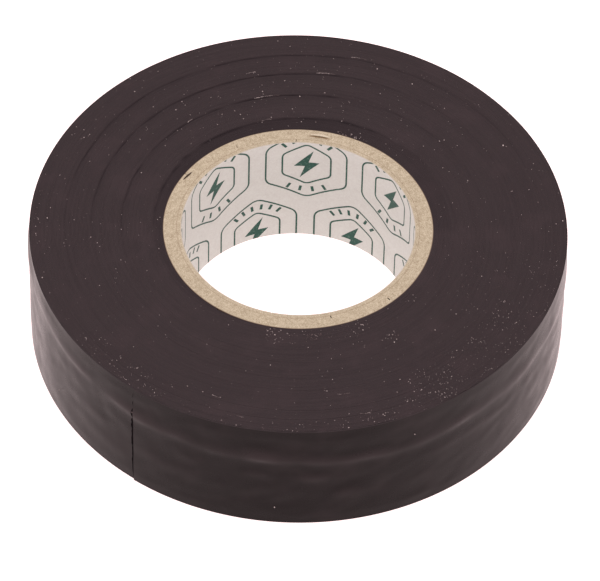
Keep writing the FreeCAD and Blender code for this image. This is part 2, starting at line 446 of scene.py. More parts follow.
def liner_material():
    """White coated paper with a faint fleck."""
    material, tree, shader = finish_material("printed_paper", (0.78, 0.74, 0.73, 1), 0.55, specular=0.35)
    pulp = place_group(tree, PAPER_FIBRE, Fibre_size=0.5 * MM)
    ground = mix_colour(tree, ease(tree, pulp.outputs["Fibres"], 0.3, 0.7), COATED_DARK, COATED_PALE)
    flecks = calc(tree, "MULTIPLY", pulp.outputs["Dark flecks"], 0.12)
    ground = mix_colour(tree, flecks, ground, COATED_FLECK)
    ground = mix_colour(tree, end_facing(tree, 0.4, 0.8), ground, LINER_CUT)
    tree.links.new(ground, shader.inputs["Base Color"])
    bump(tree, shader, pulp.outputs["Height"], 0.006 * MM)
    return material


liner = paper_layer(
    "liner_paper", BORE_RADIUS, LINER_OUTER_RADIUS, LINER_SEAM,
    LINER_ROWS, LINER_COLUMNS, LINER_ROUGHNESS_HEIGHT, liner_material(),
)
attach(liner, "roll")
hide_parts("core_liner")

# ------------------------------------------------------------
# Printing: the liner is printed before it is wound, in dark green ink, with two staggered rows of a
# plain safety mark. The ink is thin in places and stops short of the strip's cut edges.
# ------------------------------------------------------------
PRINT_PITCH, PRINT_MARKS = 50.2, 8
PRINT_ROWS = ((14.6 * MM, 86.5 - 3 * PRINT_PITCH), (1.4 * MM, 111.6 - 4 * PRINT_PITCH))
INK_PROUD, INK_DEPTH = 0.012 * MM, 0.016 * MM
INK_MARGIN = 0.06 * MM
INK_THICK, INK_THIN = (0.006, 0.070, 0.048), (0.16, 0.27, 0.22)
LINE_WIDTH = 0.29 * MM
HEXAGONS = ((6.75 * MM, 1.6 * MM), (4.0 * MM, 1.0 * MM))
BOLT = ((-0.95, 2.75), (1.8, -0.4), (0.25, -0.4), (0.95, -2.75), (-1.8, 0.4), (-0.25, 0.4))
BARS_ABOVE, BARS_BELOW = (-40, -24, -8, 8, 24, 40), (-30, -10, 10, 30)
BAR_LOW, BAR_HIGH, BAR_HALF_WIDTH = 4.55, 5.55, 0.2
MARK_REACH = 7 * MM
STEP_ALONG = 0.45 * MM
CORNER_STEPS = 5
SAME_PLACE = 1e-9


def mottle(tree, place, size, detail, roughness=0.5):
    """Soft patches about size across."""
    texture = add(tree, "ShaderNodeTexNoise",
                  {"Vector": place, "Scale": 1 / size, "Detail": detail, "Roughness": roughness})
    return texture.outputs["Fac"]


def ink_material():
    """Dark green ink, with paler patches where it is thin."""
    material, tree, shader = finish_material("green_ink", (0.01, 0.08, 0.055, 1), 0.5, specular=0.3)
    patches = mottle(tree, add(tree, "ShaderNodeTexCoord").outputs["Object"], 0.35 * MM, 3.0)
    thin = calc(tree, "MULTIPLY", ease(tree, patches, 0.52, 0.78), 0.55)
    tree.links.new(mix_colour(tree, thin, INK_THICK, INK_THIN), shader.inputs["Base Color"])
    bump(tree, shader, patches, 0.004 * MM)
    return material


def rounded_hexagon(size, corner):
    """Points round a hexagon that stands on a corner, with its corners rounded."""
    points = []
    for k in range(6):
        middle = math.radians(90 + 60 * k)
        inset = corner / math.cos(math.radians(30))
        cx, cz = (size - inset) * math.cos(middle), (size - inset) * math.sin(middle)
        for i in range(CORNER_STEPS + 1):
            turn = middle + math.radians(-30 + 60 * i / CORNER_STEPS)
            points.append((cx + corner * math.cos(turn), cz + corner * math.sin(turn)))
    return points


def cut_plane(shape, point, normal, clear_outer=False):
    """Cut every face of a shape along a plane."""
    everything = shape.verts[:] + shape.edges[:] + shape.faces[:]
    bmesh.ops.bisect_plane(
        shape, geom=everything, dist=SAME_PLACE, plane_co=point, plane_no=normal, clear_outer=clear_outer
    )


def safety_mark():
    """One flat mark: two hexagon outlines, a bolt inside them, and rows of short bars between them."""
    shape = bmesh.new()
    half = LINE_WIDTH / 2
    for size, corner in HEXAGONS:
        edges = [rounded_hexagon(size + side * half, corner + side * half) for side in (-1, 1)]
        inner, outer = [[shape.verts.new((x, 0, z)) for x, z in edge] for edge in edges]
        for i in range(len(inner)):
            j = (i + 1) % len(inner)
            shape.faces.new((inner[i], inner[j], outer[j], outer[i]))
    shape.faces.new([shape.verts.new((x * MM, 0, z * MM)) for x, z in BOLT])
    for side, angles in ((1, BARS_ABOVE), (-1, BARS_BELOW)):
        for angle in angles:
            lean = math.radians(angle)
            along = Vector((math.sin(lean), 0, side * math.cos(lean)))
            across = Vector((along.z, 0, -along.x)) * BAR_HALF_WIDTH * MM
            low, high = along * BAR_LOW * MM, along * BAR_HIGH * MM
            corners = (low - across, low + across, high + across, high - across)
            shape.faces.new([shape.verts.new(v) for v in corners])
    shape.normal_update()
    bmesh.ops.triangulate(shape, faces=[f for f in shape.faces if len(f.verts) > 4])
    for k in range(int(2 * MARK_REACH / STEP_ALONG)):
        cut_plane(shape, (-MARK_REACH + k * STEP_ALONG, 0, 0), (1, 0, 0))
    mesh = bpy.data.meshes.new("safety_mark")
    shape.to_mesh(mesh)
    shape.free()
    return mesh


def start_tree(name, inputs):
    """A Geometry Nodes tree with named inputs. Returns the tree and its input node."""
    tree = bpy.data.node_groups.new(name, "GeometryNodeTree")
    tree.interface.new_socket("Geometry", in_out="INPUT", socket_type="NodeSocketGeometry")
    for socket, kind in inputs.items():
        tree.interface.new_socket(socket, in_out="INPUT", socket_type=f"NodeSocket{kind}")
    tree.interface.new_socket("Geometry", in_out="OUTPUT", socket_type="NodeSocketGeometry")
    return tree, add(tree, "NodeGroupInput").outputs


def end_tree(tree, geometry, material):
    """Close a tree: real geometry in one material."""
    real = add(tree, "GeometryNodeRealizeInstances", {"Geometry": geometry}).outputs[0]
    painted = add(tree, "GeometryNodeSetMaterial", {"Geometry": real, "Material": material}).outputs[0]
    add(tree, "NodeGroupOutput", {0: painted})


def grow(name, tree, values, source_mesh=None):
    """Run a tree on a mesh. Returns its result as a piece with a plain mesh and no modifier."""
    source = bpy.data.objects.new(name + "_source", source_mesh or bpy.data.meshes.new(name + "_source"))
    bpy.context.scene.collection.objects.link(source)
    modifier = source.modifiers.new("grow", "NODES")
    modifier.node_group = tree
    for item in tree.interface.items_tree:
        if item.in_out == "INPUT" and item.name in values:
            modifier[item.identifier] = values[item.name]
    depsgraph = bpy.context.evaluated_depsgraph_get()
    mesh = bpy.data.meshes.new_from_object(source.evaluated_get(depsgraph), depsgraph=depsgraph)
    mesh.name = name
    bpy.data.objects.remove(source)
    piece = bpy.data.objects.new(name, mesh)
    bpy.context.scene.collection.objects.link(piece)
    return piece


def printing_tree(mark, material):
    """Two staggered rows of one mark along the flat strip, before it is wound."""
    tree, given = start_tree(
        "printing", {"Pitch": "Vector", "Marks": "Int", "Row 1": "Vector", "Row 2": "Vector"}
    )
    rows = add(tree, "GeometryNodeJoinGeometry")
    for row in ("Row 1", "Row 2"):
        line = add(tree, "GeometryNodeMeshLine",
                   {"Count": given["Marks"], "Start Location": given[row], "Offset": given["Pitch"]})
        tree.links.new(line.outputs[0], rows.inputs[0])
    stamp = add(tree, "GeometryNodeObjectInfo", {"Object": mark})
    printed = add(tree, "GeometryNodeInstanceOnPoints",
                  {"Points": rows.outputs[0], "Instance": stamp.outputs["Geometry"]})
    end_tree(tree, printed.outputs[0], material)
    return tree


mark = bpy.data.objects.new("safety_mark", safety_mark())
bpy.context.scene.collection.objects.link(mark)
row_starts = [(BORE_RADIUS * math.radians(azimuth), 0, z) for z, azimuth in PRINT_ROWS]
print_values = {
    "Pitch": (BORE_RADIUS * math.radians(PRINT_PITCH), 0, 0), "Marks": PRINT_MARKS,
    "Row 1": row_starts[0], "Row 2": row_starts[1],
}
liner_print = grow("liner_print", printing_tree(mark, ink_material()), print_values)
bpy.data.objects.remove(mark)

# The flat print is trimmed where the strip is cut, given the ink's thickness, and rolled up.
flat = bmesh.new()
flat.from_mesh(liner_print.data)
seam_foot = leaning_seam(TAPE_WIDTH / 2, BORE_RADIUS, LINER_SEAM) - 2 * math.pi
seam_normal = Vector((1, 0, SEAM_LEAN)).normalized()
for point, normal in (
    ((0, 0, INK_MARGIN), (0, 0, -1)),
    ((0, 0, TAPE_WIDTH - INK_MARGIN), (0, 0, 1)),
    ((BORE_RADIUS * seam_foot + 2 * INK_MARGIN, 0, TAPE_WIDTH / 2), -seam_normal),
    ((BORE_RADIUS * (seam_foot + 2 * math.pi) - 2 * INK_MARGIN, 0, TAPE_WIDTH / 2), seam_normal),
):
    cut_plane(flat, point, normal, clear_outer=True)
back = bmesh.ops.extrude_face_region(flat, geom=flat.faces[:], use_keep_orig=True)["geom"]
for vertex in [v for v in back if isinstance(v, bmesh.types.BMVert)]:
    vertex.co.y = INK_DEPTH
for vertex in flat.verts:
    radius = BORE_RADIUS - INK_PROUD + vertex.co.y
    vertex.co = round_axis(radius, vertex.co.x / BORE_RADIUS, vertex.co.z)
bmesh.ops.recalc_face_normals(flat, faces=flat.faces)
flat.to_mesh(liner_print.data)
flat.free()
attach(liner_print, "roll")

# ------------------------------------------------------------
# Wound tape: black vinyl film with its adhesive, one strip wound on the core in a spiral of 102
# turns. The log was slit with a round knife, which left faint, broken rings on the upper face.
# The rings are shallow grooves; the shade in them and in a band next to the core is painted into the upper
# face's colour.
# ------------------------------------------------------------
TAPE_THICKNESS = 0.18 * MM
FILM_THICKNESS = 0.13 * MM
TAPE_END = 234.5
POINTS_PER_TURN = 96
EDGE_RADIUS = 0.022 * MM
CORE_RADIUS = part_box("core_ply_5")[1].x
START_RADIUS = 37.25 * MM
END_RADIUS = CORE_RADIUS + TAPE_THICKNESS / 2
TURNS = (START_RADIUS - END_RADIUS) / TAPE_THICKNESS
HEIGHT_WANDER = 0.014 * MM
NO_GAP = 0.002 * MM
KNIFE_RINGS = (21.1, 25.6, 29.8, 33.5)
RING_SHADE_STRENGTHS = (1.3, 1.0, 0.85, 0.75)
RING_WIDTHS = (0.2, 0.14, 0.14, 0.14)
RING_FALL = 1.0
RING_AZIMUTHS, RING_SHARES = (0, 50, 75, 100, 150, 185, 230, 360), (0.1, 0.35, 0.8, 1, 0.8, 0.2, 0.1, 0.1)
INNER_BAND = 21.6
START_BUMP_GONE = 24.0
VINYL_FILM = (0.0026, 0.0008, 0.0010)
# Paler film for random haze, and for painted sheen on the outer film's raised ridges.
VINYL_HAZE_AND_SHEEN = (0.021, 0.0145, 0.0160)
VINYL_SLIT = (0.0300, 0.0240, 0.0262)
# Dark slit colour for the fine slitting arcs and for the painted shade of the knife rings.
VINYL_SLIT_ARCS_AND_SHADE = (0.012, 0.0085, 0.0105)
VINYL_GRAIN = (0.05, 0.033, 0.034)
VINYL_SMUDGED = (0.042, 0.032, 0.035)


def slit_edge_group():
    """How far a face is a slit edge of the tape, and the fine arcs that slitting leaves on it."""
    group, given = start_group(
        "slit_edge", ("Mask", "Arcs", "Grain"), {"Arc width": 0.4 * MM, "Grain size": 0.2 * MM}
    )
    place = add(group, "ShaderNodeTexCoord").outputs["Object"]
    parts = add(group, "ShaderNodeSeparateXYZ", {0: place}).outputs
    azimuth = calc(group, "ARCTAN2", parts["Y"], parts["X"])
    outwards = calc(group, "DIVIDE", distance_from_axis(group, place), given["Arc width"])
    polar = add(group, "ShaderNodeCombineXYZ", {
        "X": calc(group, "ADD", outwards, calc(group, "MULTIPLY", azimuth, 1.6)),
        "Y": calc(group, "MULTIPLY", calc(group, "COSINE", azimuth), 2.2),
        "Z": calc(group, "MULTIPLY", calc(group, "SINE", azimuth), 2.2),
    })
    arcs = add(group, "ShaderNodeTexNoise", {"Vector": polar.outputs[0], "Scale": 1.0, "Detail": 3.0})
    frequency = calc(group, "DIVIDE", 1.0, given["Grain size"])
    grain = add(group, "ShaderNodeTexNoise", {"Vector": place, "Scale": frequency, "Detail": 3.0})
    add(group, "NodeGroupOutput", {
        "Mask": end_facing(group, 0.45, 0.8), "Arcs": arcs.outputs["Fac"], "Grain": grain.outputs["Fac"],
    })
    return group


SLIT_EDGE = slit_edge_group()


def vinyl_material(name, arcs_depth, relief):
    """Black vinyl. relief names a mesh attribute of painted light: knife-ring shade on the wound tape,
    ridge sheen on the outer film.
    """
    material, tree, shader = finish_material(name, (*VINYL_FILM, 1), 0.28, specular=0.12)
    slit = place_group(tree, SLIT_EDGE, Arc_width=0.45 * MM, Grain_size=0.16 * MM).outputs
    painted_shade_and_sheen = add(tree, "ShaderNodeAttribute", attribute_name=relief).outputs["Fac"]
    haze = mottle(tree, add(tree, "ShaderNodeTexCoord").outputs["Object"], 5 * MM, 4.0, roughness=0.6)
    arcs = ease(tree, slit["Arcs"], 0.62, 0.36)
    # Where the outer film stands proud it is paler: painted sheen on its ridges.
    film = mix_colour(tree, calc(tree, "MULTIPLY", painted_shade_and_sheen, 0.7), VINYL_FILM, VINYL_HAZE_AND_SHEEN)
    hazy = calc(tree, "MULTIPLY", ease(tree, haze, 0.45, 0.75), 0.25)
    film = mix_colour(tree, hazy, film, VINYL_HAZE_AND_SHEEN)
    edge = mix_colour(tree, calc(tree, "MULTIPLY", arcs, 0.16), VINYL_SLIT, VINYL_SLIT_ARCS_AND_SHADE)
    grainy = calc(tree, "MULTIPLY", ease(tree, slit["Grain"], 0.5, 0.75), 0.5)
    edge = mix_colour(tree, grainy, edge, VINYL_GRAIN)
    smudged = calc(tree, "MULTIPLY", ease(tree, haze, 0.48, 0.7), 0.5)
    edge = mix_colour(tree, smudged, edge, VINYL_SMUDGED)
    # Painted shade of the knife rings darkens the slit face.
    edge = mix_colour(tree, painted_shade_and_sheen, edge, VINYL_SLIT_ARCS_AND_SHADE)
    tree.links.new(mix_colour(tree, slit["Mask"], film, edge), shader.inputs["Base Color"])
    smear = calc(tree, "MULTIPLY", ease(tree, haze, 0.35, 0.7), 0.1)
    dull = calc(tree, "ADD", smear, calc(tree, "MULTIPLY", slit["Mask"], 0.3))
    tree.links.new(calc(tree, "ADD", dull, 0.26), shader.inputs["Roughness"])
    grain = calc(tree, "MULTIPLY", slit["Grain"], 0.35)
    bump(tree, shader, calc(tree, "ADD", grain, calc(tree, "MULTIPLY", arcs, arcs_depth)), 0.02 * MM)
    return material


def tape_spiral_tree(material):
    """The tape's section swept along a flat spiral, with the small up and down wander of winding."""
    tree, given = start_tree("tape_spiral", {
        "Turns": "Float", "Points per turn": "Int", "Start radius": "Float", "End radius": "Float",
        "Thickness": "Float", "Width": "Float", "Edge radius": "Float", "Height wander": "Float",
        "Start angle": "Float",
    })
    path = add(tree, "GeometryNodeCurveSpiral", {
        "Resolution": given["Points per turn"], "Rotations": given["Turns"], "Height": 0.0,
        "Start Radius": given["Start radius"], "End Radius": given["End radius"], "Reverse": True,
    })
    point = add(tree, "GeometryNodeInputIndex").outputs[0]
    turn = calc(tree, "DIVIDE", point, given["Points per turn"])
    wander = add(tree, "ShaderNodeTexNoise",
                 {"W": turn, "Scale": 1.3, "Detail": 1.0}, noise_dimensions="1D")
    centred = calc(tree, "MULTIPLY", calc(tree, "SUBTRACT", wander.outputs[0], 0.5), 3.0)
    height = calc(tree, "MULTIPLY", centred, given["Height wander"])
    middle = calc(tree, "ADD", height, calc(tree, "MULTIPLY", given["Width"], 0.5))
    raised = add(tree, "GeometryNodeSetPosition", {
        "Geometry": path.outputs[0], "Offset": add(tree, "ShaderNodeCombineXYZ", {"Z": middle}).outputs[0],
    })
    section = add(tree, "GeometryNodeCurvePrimitiveQuadrilateral",
                  {"Width": given["Thickness"], "Height": given["Width"]})
    rounded = add(
        tree, "GeometryNodeFilletCurve",
        {"Curve": section.outputs[0], "Radius": given["Edge radius"], "Count": 1}, mode="POLY",
    )
    swept = add(tree, "GeometryNodeCurveToMesh",
                {"Curve": raised.outputs[0], "Profile Curve": rounded.outputs[0], "Fill Caps": True})
    turned = add(tree, "GeometryNodeTransform", {
        "Geometry": swept.outputs[0],
        "Rotation": add(tree, "ShaderNodeCombineXYZ", {"Z": given["Start angle"]}).outputs[0],
    })
    end_tree(tree, turned.outputs[0], material)
    return tree


def unevenness(azimuths, waves, seed):
    """Seeded values between about -1 and 1 that change smoothly round the roll."""
    around = np.radians(azimuths)
    return np.array([
        noise.noise(Vector((math.cos(a) * waves, math.sin(a) * waves, seed))) for a in around
    ])


def knife_ring_depth_and_shade(radius, azimuth):
    """Painted shade of the knife's rings and of a band by the core, and how far below the cut face they lie
    in millimetres.
    """
    # The rings are deepest, and their painted shade strongest, on the far side, azimuths 75 to 150.
    plain = np.interp(azimuth, RING_AZIMUTHS, RING_SHARES)
    ragged = 0.16 * unevenness(azimuth, 9, 0.3)
    rings = [middle - RING_FALL * (azimuth - 90) / 90 + ragged for middle in KNIFE_RINGS]
    mark, lowered = np.zeros(len(radius)), np.zeros(len(radius))
    for number, ring in enumerate(rings):
        from_ring = radius - ring
        uneven = unevenness(azimuth, 11, 4.0 + number)
        line = np.exp(-(from_ring / RING_WIDTHS[number]) ** 2) * np.clip(0.8 + 1.5 * uneven, 0.15, 1.3)
        line += 0.5 * np.exp(-((from_ring - 0.55) / 0.12) ** 2) * np.clip(-1.5 * uneven, 0, 1)
        # Inside each ring the face slopes down to it, with painted shade on the slope.
        slope = np.where(from_ring < 0, np.exp(from_ring / 0.9), 0) * 0.35
        mark = np.maximum(mark, (line * RING_SHADE_STRENGTHS[number] + slope) * plain)
        lowered += (0.08 * line + 0.07 * slope) * plain
    # Next to the core the face dips a little and carries a band of painted shade.
    inner_band = np.clip((np.minimum(rings[0], INNER_BAND) - radius) / 0.35, 0, 1)
    inner_band *= 0.35 + 0.65 * plain
    return np.clip(np.maximum(mark, 0.55 * inner_band), 0, 1), lowered + 0.10 * inner_band


# The wound tape's slit face darkens with the painted shade of its knife rings.
wound_vinyl = vinyl_material("wound_vinyl", 0.8, "painted_slit_shade")
wound_values = {
    "Turns": TURNS, "Points per turn": POINTS_PER_TURN,
    "Start radius": START_RADIUS, "End radius": END_RADIUS,
    "Thickness": TAPE_THICKNESS + NO_GAP, "Width": TAPE_WIDTH - 4 * HEIGHT_WANDER,
    "Edge radius": EDGE_RADIUS, "Height wander": HEIGHT_WANDER, "Start angle": math.radians(TAPE_END),
}
wound = grow("wound_tape_spiral", tape_spiral_tree(wound_vinyl), wound_values)
wound.data.transform(Matrix.Translation((0, 0, 2 * HEIGHT_WANDER)))

points = np.empty(len(wound.data.vertices) * 3)
wound.data.vertices.foreach_get("co", points)
points = points.reshape(-1, 3)
radius = np.hypot(points[:, 0], points[:, 1]) / MM
azimuth = np.degrees(np.arctan2(points[:, 1], points[:, 0])) % 360

# The first turn climbs over its own end, and that bump has gone some turns further out.
past_start = ((azimuth - TAPE_END) % 360) / 360
step_down = TAPE_THICKNESS / MM * (1 - past_start) * np.minimum(1, 40 * past_start)
step_down *= np.clip((START_BUMP_GONE - radius) / (START_BUMP_GONE - CORE_RADIUS / MM), 0, 1)
points[:, :2] *= (1 - step_down / radius)[:, None]

# The knife cut the upper face. Its rings lower that face, and their painted shade is kept for the vinyl's
# colour.
upper_face = points[:, 2] > TAPE_WIDTH / 2
painted_slit_shade, lowered = knife_ring_depth_and_shade(radius, azimuth)
points[:, 2] -= np.where(upper_face, lowered * MM, 0)
wound.data.vertices.foreach_set("co", points.ravel())
stored = wound.data.attributes.new("painted_slit_shade", "FLOAT", "POINT")
stored.data.foreach_set("value", np.where(upper_face, painted_slit_shade, 0).astype(np.float32))
smooth(wound, 30)
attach(wound, "roll")
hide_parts("wound_tape")

# ------------------------------------------------------------
# Outermost turn: the same strip, its film and its adhesive apart, as far as the point where the tail
# lets go. Winding tension and handling left a ridge and soft crinkles round its face.
# Its raised ridges are painted paler, as sheen.
# ------------------------------------------------------------
OUTER_RADIUS = START_RADIUS + TAPE_THICKNESS * 1.5
SPIRAL_OFFSET = TAPE_THICKNESS / 4
TAIL_ANGLE = 42.0
COLUMN_ANGLE = 0.5
FILM_ROWS, ADHESIVE_ROWS = 56, 6
FILM_BEVEL, ADHESIVE_BEVEL = 0.02 * MM, 0.008 * MM
FILM_DEPTHS = (0.0, FILM_THICKNESS)
ADHESIVE_DEPTHS = (FILM_THICKNESS, TAPE_THICKNESS - NO_GAP)
ADHESIVE_DARK, ADHESIVE_PALE = (0.002, 0.0015, 0.002), (0.008, 0.006, 0.007)
TRIM_UNEVEN = 0.03 * MM
FACE_RADIUS = 37.5
RIDGE_AZIMUTHS = (0, 40, 180, 200, 215, 234, 255, 270, 290, 310, 330)
RIDGE_HEIGHTS = (13.9, 14.6, 16.0, 16.0, 15.0, 13.9, 13.4, 13.1, 12.9, 13.4, 13.8)


def stretch_at(turn_angle, z):
    """How far the outer film stands proud at an angle along the tape and a height, in millimetres."""
    azimuth = turn_angle + TAPE_END
    height = z / MM
    ridge = float(np.interp(azimuth % 360, RIDGE_AZIMUTHS, RIDGE_HEIGHTS, period=360))
    along = math.radians(azimuth) * FACE_RADIUS
    waver = 0.5 * noise.noise(Vector((along / 6, 0, 1.7)))
    above = height - ridge - waver
    strength = 0.75 + 0.9 * noise.noise(Vector((along / 5, 0, 3.1)))
    lift = 0.15 * max(0.3, strength) * math.exp(-(above / (1.5 if above > 0 else 0.8)) ** 2)
    second = 0.3 + 1.3 * noise.noise(Vector((along / 4.5, 0, 8.4)))
    lift += 0.075 * max(0, second) * math.exp(-((above + 3.4 + 0.6 * waver) / 0.9) ** 2)
    third = 0.2 + 1.3 * noise.noise(Vector((along / 5.5, 0, 12.9)))
    lift += 0.065 * max(0, third) * math.exp(-((above + 6.9 - waver) / 1.3) ** 2)
    crinkle = noise.noise(Vector((along / 1.5 + height / 6, height / 4.2, 5.0)))
    slanting = noise.noise(Vector((along / 3.1 - height / 3.5, height / 2.2, 15.0)))
    blotch = noise.noise(Vector((along / 6.5, height / 3.0, 9.0)))
    lift += 0.014 * (0.6 + crinkle) + 0.030 * (0.5 + slanting) + 0.05 * (0.5 + blotch)
    flat_edges = min(1, height / 1.6, (19 - height) / 1.6)
    return max(0, lift) * max(0, flat_edges) ** 1.5


def strip_place(angle, z, depth=0.0, rise=0.0):
    """The place on the strip at an angle along it, a height, a depth and a rise in millimetres."""
    half_turn = 1 if angle < 180 else -1
    r = OUTER_RADIUS - SPIRAL_OFFSET * (1 if half_turn > 0 else 3) - depth + rise * MM
    turn, azimuth = math.radians(TAPE_END), math.radians(angle + TAPE_END)
    x = half_turn * SPIRAL_OFFSET * math.cos(turn) + r * math.cos(azimuth)
    y = half_turn * SPIRAL_OFFSET * math.sin(turn) + r * math.sin(azimuth)
    return x, y, z


def tape_strip(name, start, end, depths, rows, bevel, material, lift=None):
    """A length of one layer of the outermost turn, from a start angle to an end angle along it."""
    near, far = depths
    low, high = 0.0, TAPE_WIDTH
    outer_heights = np.linspace(low + bevel, high - bevel, rows)
    inner_heights = outer_heights if rows < 10 else np.linspace(low + bevel, high - bevel, rows // 4)
    section = [(near, z, True) for z in outer_heights]
    section += [(near + bevel, high, False), (far - bevel, high, False)]
    section += [(far, z, False) for z in reversed(inner_heights)]
    section += [(far - bevel, low, False), (near + bevel, low, False)]
    columns = max(2, round((end - start) / COLUMN_ANGLE))
    vertices, relief = [], []
    for column in range(columns + 1):
        angle = start + (end - start) * column / columns
        trim = TRIM_UNEVEN * (1 + noise.noise(Vector((angle / 9, 4.4, 0))))
        for depth, z, outer in section:
            rise = lift(angle, z) if lift and outer else 0.0
            vertices.append(strip_place(angle, z - trim * (z / TAPE_WIDTH), depth, rise))
            # The kept relief is painted sheen, where the film stands proud.
            relief.append(min(1, max(0, (rise - 0.07) / 0.14)))
    piece = new_piece(name, vertices, swept_faces(columns, len(section)), material)
    stored = piece.data.attributes.new("stretch", "FLOAT", "POINT")
    stored.data.foreach_set("value", relief)
    smooth(piece, 40)
    return piece


def adhesive_material(name, specular, roughest):
    """Black rubber adhesive with fine legs. Where its edge was slit it is dusty, with bare patches."""
    material, tree, shader = finish_material(name, (0.006, 0.0055, 0.006, 1), 0.42, specular=specular)
    place = add(tree, "ShaderNodeTexCoord").outputs["Object"]
    legs = mottle(tree, place, 0.6 * MM, 4.0, roughness=0.7)
    colour = mix_colour(tree, ease(tree, legs, 0.4, 0.7), ADHESIVE_DARK, ADHESIVE_PALE)
    bare = calc(tree, "MULTIPLY", ease(tree, mottle(tree, place, 2.5 * MM, 3.0), 0.62, 0.42), 0.75)
    slit = place_group(tree, SLIT_EDGE, Arc_width=0.45 * MM, Grain_size=0.16 * MM).outputs["Mask"]
    dusty = calc(tree, "MULTIPLY", slit, calc(tree, "SUBTRACT", 0.9, bare))
    tree.links.new(mix_colour(tree, dusty, colour, VINYL_SLIT), shader.inputs["Base Color"])
    tree.links.new(calc(tree, "MULTIPLY", legs, roughest), shader.inputs["Roughness"])
    bump(tree, shader, legs, 0.03 * MM)
    return material


# The film reads the stretch attribute as painted sheen on its ridges.
vinyl_film = vinyl_material("vinyl_film", 0.3, "stretch")
rubber_adhesive = adhesive_material("rubber_adhesive", 0.3, 1.0)
outer_film = tape_strip(
    "outer_turn_film_sheet", TAIL_ANGLE, 360, FILM_DEPTHS, FILM_ROWS, FILM_BEVEL, vinyl_film, stretch_at
)
outer_adhesive = tape_strip(
    "outer_turn_adhesive_coat", TAIL_ANGLE, 360, ADHESIVE_DEPTHS, ADHESIVE_ROWS, ADHESIVE_BEVEL,
    rubber_adhesive,
)
for piece, node, slot in (
    (outer_film, "outer_turn_film", "vinyl_film"),
    (outer_adhesive, "outer_turn_adhesive", "rubber_adhesive"),
):
    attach(piece, "roll")
    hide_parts(node)

# ------------------------------------------------------------
# Tail: the last 27 mm of the strip, cut straight across and pressed down, made as six lengths,
# each of film and adhesive.
# ------------------------------------------------------------
TAIL_PIECES = 6
PIECE_ANGLE = TAIL_ANGLE / TAIL_PIECES

joint_places = {joint["name"]: Vector(joint["pos_m"]) for joint in frame["joints"]}
for index in range(TAIL_PIECES):
    number = index + 1
    far_angle = TAIL_ANGLE - index * PIECE_ANGLE
    near_angle = far_angle - PIECE_ANGLE
    film = tape_strip(
        f"tail_film_sheet_{number}", near_angle, far_angle, FILM_DEPTHS, FILM_ROWS, FILM_BEVEL,
        vinyl_film, stretch_at,
    )
    coat = tape_strip(
        f"tail_adhesive_coat_{number}", near_angle, far_angle, ADHESIVE_DEPTHS, ADHESIVE_ROWS,
        ADHESIVE_BEVEL, rubber_adhesive,
    )
    hinge = joint_places[f"tail_flex_{number}" if index else "tail_peel"].copy()
    hinge.z = TAPE_WIDTH / 2
    for piece, node, slot in (
        (film, f"tail_film_{number}", "vinyl_film"),
        (coat, f"tail_adhesive_{number}", "rubber_adhesive"),
    ):
        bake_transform(piece)
        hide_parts(node)

# ------------------------------------------------------------
# Squeezed adhesive and painted shade: where the tail's end was pressed down, adhesive came out along
# the cut as a thin dark bead, which also carries the painted shade of the step at the cut end. It is
# dull, uneven in width, and thin and broken towards the top.
# ------------------------------------------------------------
BEAD_LOW, BEAD_HIGH = 0.5 * MM, 18.6 * MM
BEAD_THIN_ABOVE = 14.4 * MM
BEAD_ANGLE = 0.8
BEAD_ROWS = 80
# Each point of the bead's section: how far it lies under the film, the share of the bead's width by
# which it stands past the cut end, and how deep it lies in millimetres.
BEAD_SECTION = (
    (0.03, 0, 0.15), (0.02, 0, 0.04), (0, 0.35, 0.07), (0, 0.75, 0.11), (0, 1, 0.17), (0, 1, 0.20),
)

bead_points = []
for row in range(BEAD_ROWS + 1):
    z = BEAD_LOW + (BEAD_HIGH - BEAD_LOW) * row / BEAD_ROWS
    width = BEAD_ANGLE * (0.85 + 0.5 * noise.noise(Vector((0, 0, z / (0.9 * MM)))))
    width *= math.sin(math.pi * (0.04 + 0.92 * row / BEAD_ROWS)) ** 0.4
    width *= 1 if z < BEAD_THIN_ABOVE else 0.45 + 0.35 * math.sin(z / (0.25 * MM))
    lift = stretch_at(0, z) * MM
    for under, share, depth in BEAD_SECTION:
        azimuth = math.radians(under - share * width + TAPE_END)
        bead_points.append(round_axis(OUTER_RADIUS - depth * MM + lift, azimuth, z))
# The bead's black is partly painted shade of the step at the tail's cut end.
adhesive_and_step_shade = adhesive_material("adhesive_and_step_shade", 0.02, 1.8)
bead_faces = swept_faces(BEAD_ROWS, len(BEAD_SECTION))
bead = new_piece("tail_end_bead", bead_points, bead_faces, adhesive_and_step_shade)
smooth(bead, 60)
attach(bead, f"tail_{TAIL_PIECES}")

# ------------------------------------------------------------
# Dust: the upper slit face holds paper dust and lint from the slitter, thickest some way past the
# tape's cut end, with a few grains along the edge of the core and on the outer film.
# Two lines of pale grains on the far side are painted sheen.
# ------------------------------------------------------------
DUST_SEED = 7
LARGE_GRAINS = (
    (84, 20.4, 0.16), (102, 26.6, 0.13), (113, 24, 0.11), (150, 36.5, 0.10), (152, 34.5, 0.09),
    (176, 36.5, 0.12), (186, 36, 0.11), (244, 33, 0.12), (248, 33, 0.12), (259, 20.4, 0.16),
    (276, 20.5, 0.17), (278, 20.2, 0.12), (268, 37.2, 0.13), (296, 35, 0.13), (308, 33, 0.11),
    (316, 26.5, 0.14), (338, 22.6, 0.11), (342, 26.8, 0.11), (335, 35, 0.12), (328, 35.5, 0.10),
)
